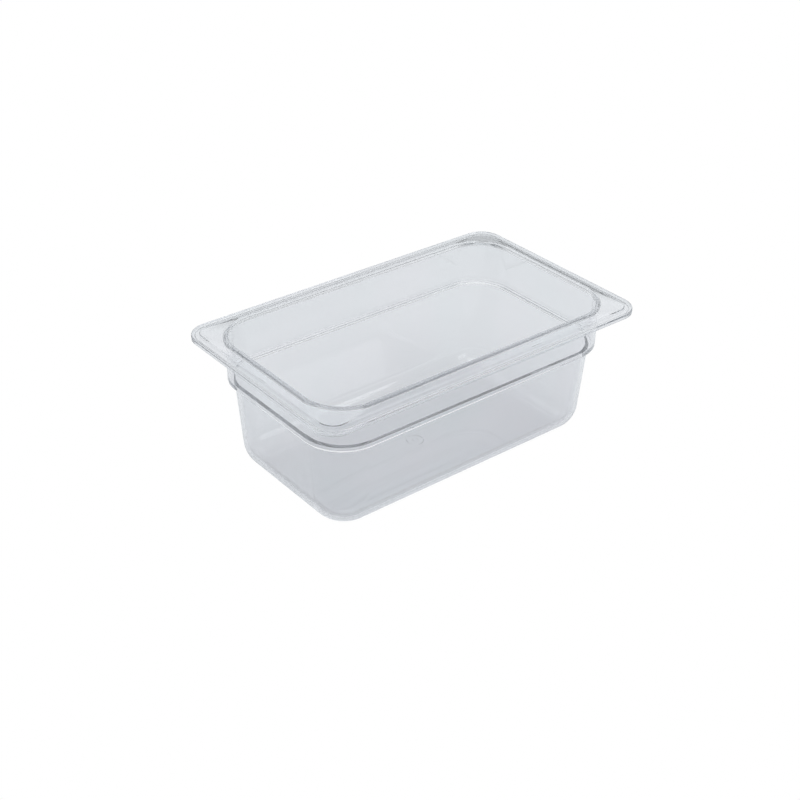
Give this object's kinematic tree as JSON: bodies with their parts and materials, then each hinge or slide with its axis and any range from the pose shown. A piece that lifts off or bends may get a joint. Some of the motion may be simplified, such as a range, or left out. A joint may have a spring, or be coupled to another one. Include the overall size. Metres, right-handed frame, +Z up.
{
  "type": "gastronorm food pan",
  "caption": "Clear plastic rectangular food pan with a sloping flange, a downturned lip, a stacking shoulder and a rounded floor.",
  "frame": {"origin": "centre of the flat face under the pan that it rests on", "axes": "+Z up out of the pan's mouth; X along the long side, Y along the short side"},
  "size_m": [0.265, 0.162, 0.1],
  "materials": {
    "clear_polycarbonate": "clear, smooth moulded gloss with fine scuffs"
  },
  "bodies": {
    "root": {"pan": "clear_polycarbonate"}
  },
  "joints": []
}
